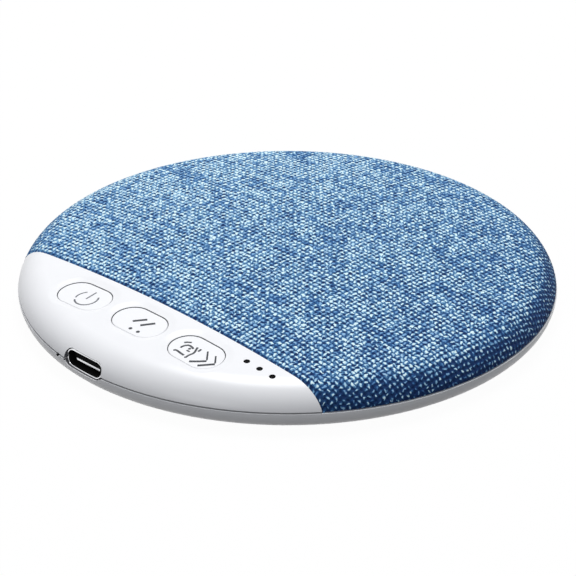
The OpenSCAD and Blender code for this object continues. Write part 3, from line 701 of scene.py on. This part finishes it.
def obround_ring(l, w, grow=0.0, n=24):
    """Points round an obround, anticlockwise, with n on each end."""
    half, r = (l - w) / 2, w / 2 + grow
    t = np.linspace(-math.pi / 2, math.pi / 2, n)
    right = np.stack([half + r * np.cos(t), r * np.sin(t)], 1)
    left = np.stack([-half - r * np.cos(t), -r * np.sin(t)], 1)
    sides = 12
    low = np.stack([np.linspace(-half, half, sides + 2)[1:-1], np.full(sides, -r)], 1)
    high = np.stack([np.linspace(half, -half, sides + 2)[1:-1], np.full(sides, r)], 1)
    return np.concatenate([right, high, left, low])


def circle(n):
    t = np.linspace(0, 2 * math.pi, n, endpoint=False)
    return np.column_stack([np.cos(t), np.sin(t)])


def key_cutter(i):
    """An aperture with a fine rounded rim. Each row: outward, and up from the surface."""
    rows = [(0.0, -0.1), (0.012, -0.04), (0.04, -0.01), (0.08, 0.004), (0.3, 0.02), (0.3, 2.0)]
    xy = obround_ring(KEY_L, KEY_W) + [i * KEY_PITCH, -KEY_Y]
    made = [np.column_stack([xy, np.full(len(xy), PART_Z + 0.5)])]
    for grow, up in rows:
        xy = obround_ring(KEY_L, KEY_W, grow) + [i * KEY_PITCH, -KEY_Y]
        made.append(np.column_stack([xy, surface(xy[:, 0], xy[:, 1]) + up]))
    return cutter(f"cut_key_{i}", *stack(made))


def light_cutter(x, y):
    """A round hole with a fine bevel."""
    bevel = 0.03
    made = []
    for grow, up in ((0.0, -4.0), (0.0, -bevel), (bevel * 0.3, -bevel * 0.3), (bevel, 0.0), (bevel, 1.5)):
        px, py = (np.array([[x, y]]) + (LIGHT_D / 2 + grow) * circle(40)).T
        made.append(np.column_stack([px, py, surface(px, py) + up]))
    return cutter("cut_round", *stack(made))


def along_y(ring, x, z, y0, y1):
    """A prism along Y whose section is ring."""
    n = len(ring)
    a = np.column_stack([x + ring[:, 0], np.full(n, y0), z + ring[:, 1]])
    b = np.column_stack([x + ring[:, 0], np.full(n, y1), z + ring[:, 1]])
    return stack([b, a])


def pin_cutter():
    """The panel's half of the microphone's pinhole, turned from -Y about the axis."""
    hole, faces = along_y(MIC_D / 2 * circle(32), 0.0, PART_Z + SEAM_GAP / 2, -60, -42)
    c, s = math.cos(MIC_TURN), math.sin(MIC_TURN)
    return cutter("cut_pin", hole @ np.array([[c, s, 0], [-s, c, 0], [0, 0, 1]]), faces)


def border_cutter():
    """Everything behind the straight border, with a fine bevel at the surface."""
    far, low, high = 20.0, -5.0, 30.0
    xs = np.linspace(-60, 60, 241)
    rings = [np.array([[x, far, low], [x, -CHORD_Y, low], [x, -CHORD_Y, top - 0.16],
                       [x, -CHORD_Y - 0.05, top - 0.05], [x, -CHORD_Y - 0.16, top + 0.005],
                       [x, -CHORD_Y - 0.3, high], [x, far, high]])
             for x, top in zip(xs, surface(xs, np.full_like(xs, -CHORD_Y)))]
    return cutter("cut_border", *stack(rings))


def cut_all(o, cutters):
    for c in cutters:
        m = o.modifiers.new("cut", "BOOLEAN")
        m.operation = "DIFFERENCE"
        m.object = c
        m.solver = "MANIFOLD"
    dg = bpy.context.evaluated_depsgraph_get()
    me = bpy.data.meshes.new_from_object(o.evaluated_get(dg))
    o.modifiers.clear()
    o.data = me
    for c in cutters:
        bpy.data.objects.remove(c, do_unlink=True)


def panel_section():
    """Rows of radius, height, and 1 where the dishes sink the surface, round the panel's section."""
    start_r, foot = 27.6, PART_Z + 0.02
    s0 = float(arc_at(start_r))
    s1 = arc_for_height(PANEL_LOW + 0.06)
    outer = np.concatenate([np.linspace(s0, TAN_S, 52)[:-1], np.linspace(TAN_S, s1, 40)])
    r, z, _ = at_arc(outer)
    rows = [(rr, zz, 1.0) for rr, zz in zip(r, z)]
    rim = float(at_arc(arc_for_height(PANEL_LOW))[0])
    rows += [(rim - 0.035, PANEL_LOW + 0.015, 0.0), (rim - 0.09, PANEL_LOW, 0.0)]
    rows += [(rim - SEAM_DEPTH, PANEL_LOW, 0.0), (rim - SEAM_DEPTH, foot, 0.0)]
    r, z, a = at_arc(np.linspace(s0, arc_for_height(PANEL_LOW), 26)[::-1])
    inner = [(q - TOP_IN * math.sin(t), w - TOP_IN * math.cos(t), 0.0) for q, w, t in zip(r, z, a)]
    rows.append((inner[0][0], foot, 0.0))
    rows += [p for p in inner if p[1] > PART_Z + 0.1]
    return np.array(rows)


def make_panel():
    turn = math.radians(56)
    sec = panel_section()
    rings = []
    for t in np.linspace(-turn, turn, 420):
        x, y = sec[:, 0] * math.sin(t), -sec[:, 0] * math.cos(t)
        rings.append(np.column_stack([x, y, sec[:, 1] - sec[:, 2] * dish(x, y)]))
    o = mesh_object("panel", *stack(rings), WHITE, slot="white_plastic")
    face_out(o)
    cuts = [key_cutter(i) for i in KEY_ROW]
    cuts += [light_cutter(x, -LIGHT_Y) for x in LIGHTS_X]
    port = obround_ring(PORT_L, PORT_W, n=20)
    cuts.append(cutter("cut_port", *along_y(port, PORT_X, PORT_Z, -60, USB_END_Y + 0.1)))
    cuts += [pin_cutter(), border_cutter()]
    bpy.context.view_layer.update()
    cut_all(o, cuts)
    # The white plastic, and the materials that paint shade into the holes, gaps and cut-outs
    o.data.materials.clear()
    for m in (WHITE, SHADOW, WALL_SHADE, RECESS_SHADE):
        o.data.materials.append(m)
    shade_walls(o.data)
    dress_normals(o.data)
    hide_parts("control_panel")


def read(items, prop, width, kind=np.float32):
    """One property of all items as an array."""
    values = np.zeros(len(items) * width, kind)
    items.foreach_get(prop, values)
    return values.reshape(-1, width).astype(float) if width > 1 else values


def whole_faces(marked, sizes):
    """The faces all of whose corners are marked."""
    area = np.repeat(np.arange(len(sizes)), sizes)
    return np.bincount(area, weights=marked.astype(float), minlength=len(sizes)) == sizes


def shade_walls(me):
    """Painted shade by material: joint, pinhole and light holes 1, key apertures 2, port cut-out 3; all else
    0, the white plastic.
    """
    x, y, z = (read(me.vertices, "co", 3) / MM).T
    under = surface(x, y) - z
    joint = (z < PANEL_LOW + 0.002) & (np.hypot(x, y) < BODY_R - 0.06)
    across = x * math.cos(MIC_TURN) + y * math.sin(MIC_TURN)
    pin = np.hypot(across, z - PART_Z - SEAM_GAP / 2) < MIC_D / 2 + 0.015
    pin &= (y < -42) & (x < 0)
    lights, keys = np.zeros(len(x), bool), np.zeros(len(x), bool)
    for lx in LIGHTS_X:
        lights |= (np.hypot(x - lx, y + LIGHT_Y) < LIGHT_D / 2 + 0.008) & (under > 0.02)
    for i in KEY_ROW:
        keys |= (np.abs(key_distance(x, y, i)) < 0.014) & (under > 0.02)
    port = (np.abs(obround_distance(x, z, PORT_X, PORT_Z, PORT_L, PORT_W)) < 0.01) & (y < -38)
    sizes = read(me.polygons, "loop_total", 1, np.int32)
    of = read(me.loops, "vertex_index", 1, np.int32)
    index = np.zeros(len(sizes), np.int32)
    for marked, number in ((joint, 1), (pin, 1), (lights, 1), (keys, 2), (port, 3)):
        index[whole_faces(marked[of], sizes)] = number
    me.polygons.foreach_set("material_index", index)


def dress_normals(me):
    """True normals where the mesh lies on the surface, and smooth ones by angle elsewhere."""
    me.shade_smooth()
    me.set_sharp_from_angle(angle=math.radians(32))
    corner = read(me.corner_normals, "vector", 3)
    of = read(me.loops, "vertex_index", 1, np.int32)
    sizes = read(me.polygons, "loop_total", 1, np.int32)
    flat = np.repeat(read(me.polygons, "normal", 3), sizes, axis=0)
    x, y, z = (read(me.vertices, "co", 3) / MM)[of].T
    want = surface_normal(x, y)
    near = np.abs(z - surface(x, y)) * want[:, 2] < 0.012
    agree = (want * flat).sum(1) > math.cos(math.radians(12))
    use = np.repeat(whole_faces(near & agree, sizes), sizes)
    corner[use] = want[use]
    me.normals_split_custom_set([tuple(c) for c in corner])


make_panel()


def make_bead(name, start, end):
    """Fine bead on the bottom cover's joint, between two angles from the -Y side."""
    r, z = np.array([(46.7, 3.78), (47.485, 3.78), (47.49, 3.82), (47.47, 3.855),
                     (47.43, 3.885), (47.36, 3.9), (46.7, 3.9)]).T
    turns = np.radians(np.linspace(start, end, int(abs(end - start) * 2) + 3))
    rings = [np.column_stack([r * math.sin(t), -r * math.cos(t), z]) for t in turns]
    o = mesh_object(name, *stack(rings), WHITE, slot="white_plastic")
    face_out(o)
    soften(o, 50)


make_bead("joint_bead", 3.95, 349.55)
make_bead("joint_bead_port", -9.55, -7.8)


# Charging connector: a drawn shell whose mouth follows the rim, and the plate in its tongue
def make_connector():
    outer = obround_ring(USB_W, USB_H, n=20)
    inner = obround_ring(USB_W - 2 * USB_T, USB_H - 2 * USB_T, n=20)

    def mouth(ring):
        x, z = PORT_X + ring[:, 0], PORT_Z + ring[:, 1]
        high = EDGE_X + np.sqrt(EDGE_R ** 2 - np.clip(z - EDGE_Z, 0, None) ** 2)
        reach = np.where(z > EDGE_Z, high, BODY_R)
        return np.minimum(-np.sqrt(reach ** 2 - x ** 2) + MOUTH_IN, MOUTH_Y)

    def at(ring, y):
        return np.column_stack([PORT_X + ring[:, 0], np.broadcast_to(y, len(ring)), PORT_Z + ring[:, 1]])

    soft = 0.04
    middle = (outer + inner) / 2
    rings = [at(outer, USB_END_Y), at(outer, mouth(outer) + soft),
             at(outer * 0.75 + middle * 0.25, mouth(outer)), at(inner * 0.75 + middle * 0.25, mouth(inner)),
             at(inner, mouth(inner) + soft), at(inner, USB_END_Y - USB_T)]
    o = mesh_object("connector_shell", *stack(rings), BRIGHT, slot="steel")
    face_out(o)
    # Its inside is painted dark with the tongue's plastic, as painted shade
    o.data.materials.append(TONGUE)
    for face in o.data.polygons:
        x, y, z = (np.array([o.data.vertices[i].co for i in face.vertices]) / MM).T
        off = np.hypot(np.maximum(np.abs(x - PORT_X) - (USB_W - USB_H) / 2, 0), z - PORT_Z)
        if (off < USB_H / 2 - USB_T + 0.02).all() and y.max() > -42:
            face.material_index = 1
    soften(o, 35)
    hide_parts("usb_shell")


def make_tongue_plate():
    spans = (-4.15, 1.6), (-45.95, -45.5), (4.2, 4.56)
    corners = [(x, y, z) for x in spans[0] for y in spans[1] for z in spans[2]]
    faces = [(0, 1, 3, 2), (4, 6, 7, 5), (0, 4, 5, 1), (2, 3, 7, 6), (0, 2, 6, 4), (1, 5, 7, 3)]
    face_out(mesh_object("tongue_plate", corners, faces, BRIGHT, slot="steel"))


make_connector()
make_tongue_plate()


# Keys: a cap that follows the crown, with a soft edge, on a flange and a stem
def make_key(i, name):
    l, w = KEY_L - 2 * KEY_GAP, KEY_W - 2 * KEY_GAP
    cx, cy = i * KEY_PITCH, -KEY_Y
    soft = 0.06

    def top(x, y):
        return height_at(x, y) - KEY_DROP - 0.035 * smooth((0.9 + obround_distance(x, y, cx, cy, l, w)) / 0.9)

    rings = []

    def ring(grow, z, l_=l, w_=w):
        xy = obround_ring(l_, w_, grow) + [cx, cy]
        rings.append(np.column_stack([xy, z(xy[:, 0], xy[:, 1]) if callable(z) else np.full(len(xy), z)]))

    ring(0, STEM_Z, STEM_D, STEM_D)
    ring(0, FLANGE_Z, STEM_D, STEM_D)
    ring(FLANGE_W - soft, FLANGE_Z, KEY_L, KEY_W)
    ring(FLANGE_W, FLANGE_Z + soft, KEY_L, KEY_W)
    ring(FLANGE_W, FLANGE_Z + FLANGE_T - soft, KEY_L, KEY_W)
    ring(FLANGE_W - soft, FLANGE_Z + FLANGE_T, KEY_L, KEY_W)
    ring(0, FLANGE_Z + FLANGE_T)
    for t in np.linspace(0, math.pi / 2, 7):
        ring(-KEY_EDGE * (1 - math.cos(t)), lambda x, y: top(x, y) - KEY_EDGE * (1 - math.sin(t)))
    for inward in (0.3, 0.5, 0.75, 1.05, 1.4, 1.8, 2.2, 2.6, 3.0):
        ring(-inward, top)
    o = mesh_object(name + "_cap", *stack(rings), KEYS, slot="key_plastic", body=name)
    face_out(o, split=True)
    soften(o, 34)
    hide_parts(name)
    return top


TOPS = {name: make_key(i, name) for i, name in zip(KEY_ROW, ("power_key", "back_key", "forward_key"))}


# Pictograms: thin raised strokes on the keys
INK_UP, INK_DOWN = 0.012, -0.02


def line(path, width):
    """A stroke through the points of path."""
    step = 0.15
    path = np.asarray(path, float)
    out = [path[0]]
    for a, b in zip(path[:-1], path[1:]):
        n = max(1, int(np.linalg.norm(b - a) / step))
        out += [a + (b - a) * k / n for k in range(1, n + 1)]
    return np.array(out), width, False


def arc(cx, cy, r, a0, a1, width):
    t = np.radians(np.linspace(a0, a1, 40))
    return np.column_stack([cx + r * np.cos(t), cy + r * np.sin(t)]), width, False


def dot(cx, cy, r):
    t = np.radians(np.arange(0, 360, 20))
    return np.column_stack([cx + r / 2 * np.cos(t), cy + r / 2 * np.sin(t)]), r, True


def stroke_sides(path, width, closed):
    """Both sides of a stroke along path, with square ends."""
    d = np.roll(path, -1, 0) - np.roll(path, 1, 0) if closed else np.gradient(path, axis=0)
    d /= np.linalg.norm(d, axis=1)[:, None]
    normal = np.column_stack([-d[:, 1], d[:, 0]])
    return path + normal * width / 2, path - normal * width / 2


def ink_piece(name, key, strokes, material):
    """strokes is a list of (path, width, closed)."""
    top = TOPS[key]
    pts, faces = [], []
    for path, width, closed in strokes:
        left, right = stroke_sides(path, width, closed)
        n, base = len(left), len(pts)
        for a, b in zip(left, right):
            for (x, y), up in ((a, INK_UP), (b, INK_UP), (b, INK_DOWN), (a, INK_DOWN)):
                pts.append((x, y, float(top(np.array([x]), np.array([y]))[0]) + up))
        for k in range(n if closed else n - 1):
            q = base + 4 * ((k + 1) % n)
            p = base + 4 * k
            faces += [(p, p + 1, q + 1, q), (p + 1, p + 2, q + 2, q + 1),
                      (p + 2, p + 3, q + 3, q + 2), (p + 3, p, q, q + 3)]
        if not closed:
            end = base + 4 * n
            faces += [(base, base + 3, base + 2, base + 1), (end - 4, end - 3, end - 2, end - 1)]
    face_out(mesh_object(name, pts, faces, material, slot="black_plastic", body=key))


ink_piece("power_icon", "power_key", [
    arc(-13.03, -35.68, 2.08, 134, 205, 0.3),
    arc(-13.03, -35.68, 2.08, 222, 402, 0.32),
    line([(-13.0, -35.85), (-13.06, -33.35)], 0.3),
], INK_SOFT)
ink_piece("skip_icon", "back_key", [
    line([(-1.14, -35.87), (0.51, -34.02)], 0.56),
    line([(0.86, -35.98), (2.45, -33.98)], 0.56),
    dot(0.2, -37.62, 0.34),
    dot(1.98, -37.57, 0.34),
], INK)
ink_piece("forward_icon", "forward_key", [
    line([(14.92, -37.97), (15.21, -37.79), (16.09, -37.03), (17.09, -36.04)], 0.5),
    line([(16.95, -35.85), (15.29, -33.99)], 0.3),
    line([(16.8, -37.86), (17.03, -37.69), (17.8, -36.83), (18.74, -35.72)], 0.5),
    line([(18.6, -35.52), (17.22, -34.02)], 0.3),
], INK)
ink_piece("bell_icon", "forward_key", [
    line([(11.01, -36.21), (10.99, -35.73), (11.14, -35.3), (11.46, -34.91),
          (11.88, -34.78), (12.49, -34.91), (12.91, -35.1)], 0.4),
    line([(10.62, -37.5), (10.85, -37.2), (11.2, -37.15), (12.02, -37.28), (13.01, -37.37)], 0.4),
    line([(13.5, -37.75), (13.7, -37.5), (13.64, -37.1), (13.7, -36.6),
          (13.85, -35.97), (13.73, -35.47), (13.42, -34.9), (13.17, -34.31)], 0.38),
    line([(10.39, -34.8), (10.7, -34.4), (11.36, -33.95)], 0.38),
    line([(14.05, -35.08), (14.06, -34.72), (14.02, -34.3)], 0.38),
    line([(12.34, -36.07), (13.05, -36.06)], 0.32),
    dot(12.41, -35.47, 0.26),
], INK)

# Floor, lights and camera
WHITE_LIGHT = (1, 1, 1, 1)


def floor_material():
    """White where it is seen, with the object's shadow, and dark as a source of bounced light."""
    m = bpy.data.materials.new("floor")
    m.use_nodes = True
    m.node_tree.nodes.clear()
    k = Maker(m.node_tree)
    bounce = k.shader("ShaderNodeBsdfDiffuse", (0.06, 0.06, 0.063, 1))
    seen = k.shader_mix(0.97, k.shader("ShaderNodeBsdfDiffuse", WHITE_LIGHT),
                        k.shader("ShaderNodeEmission", WHITE_LIGHT, 1.0))
    out = k.node("ShaderNodeOutputMaterial")
    k.put(out.inputs[0], k.shader_mix(k.sees_background(), bounce, seen))
    return m


bpy.ops.mesh.primitive_plane_add(size=6, location=(0, 0, 0))
floor = bpy.context.object
floor.name = "floor"
floor.data.materials.append(floor_material())

world = bpy.data.worlds.new("studio")
bpy.context.scene.world = world
world.use_nodes = True
world.node_tree.nodes.clear()
sky = Maker(world.node_tree)
fill = sky.shader("ShaderNodeBackground", (0.9, 0.94, 1.0, 1), 0.34)
white = sky.shader("ShaderNodeBackground", WHITE_LIGHT, 1.0)
sky_out = sky.node("ShaderNodeOutputWorld")
sky.put(sky_out.inputs[0], sky.shader_mix(sky.sees_background(), fill, white))


def turn_to(o, where, aim):
    """Puts a lamp or the camera at one place, looking at another."""
    bpy.context.scene.collection.objects.link(o)
    o.location = where
    o.rotation_mode = "QUATERNION"
    o.rotation_quaternion = (Vector(aim) - Vector(where)).to_track_quat("-Z", "Y")


def area_light(name, where, aim, size, power):
    d = bpy.data.lights.new(name, "AREA")
    d.shape = "DISK"
    d.size = size
    d.energy = power
    turn_to(bpy.data.objects.new(name, d), where, aim)
    return d


area_light("overhead", (-0.12, 0.12, 0.74), (0, 0, 0.01), 0.5, 4.33)
strip = area_light("front_strip", (0.17, -0.79, 0.27), (0.015, -0.04, 0.005), 0.42, 0.66)
strip.shape = "RECTANGLE"
strip.size_y = 0.09

# The camera was fitted to the photo's outline, parting line, keys and lights
cam_data = bpy.data.cameras.new("camera")
cam_data.sensor_width = 36.0
cam_data.lens = 196.48
cam_data.clip_start = 0.01
cam_data.clip_end = 20.0
cam = bpy.data.objects.new("camera", cam_data)
turn_to(cam, (0.34744, -0.34732, 0.26333), (0.000625, -0.000502, 0.002541))
bpy.context.scene.camera = cam
bpy.context.scene.view_settings.view_transform = "Standard"
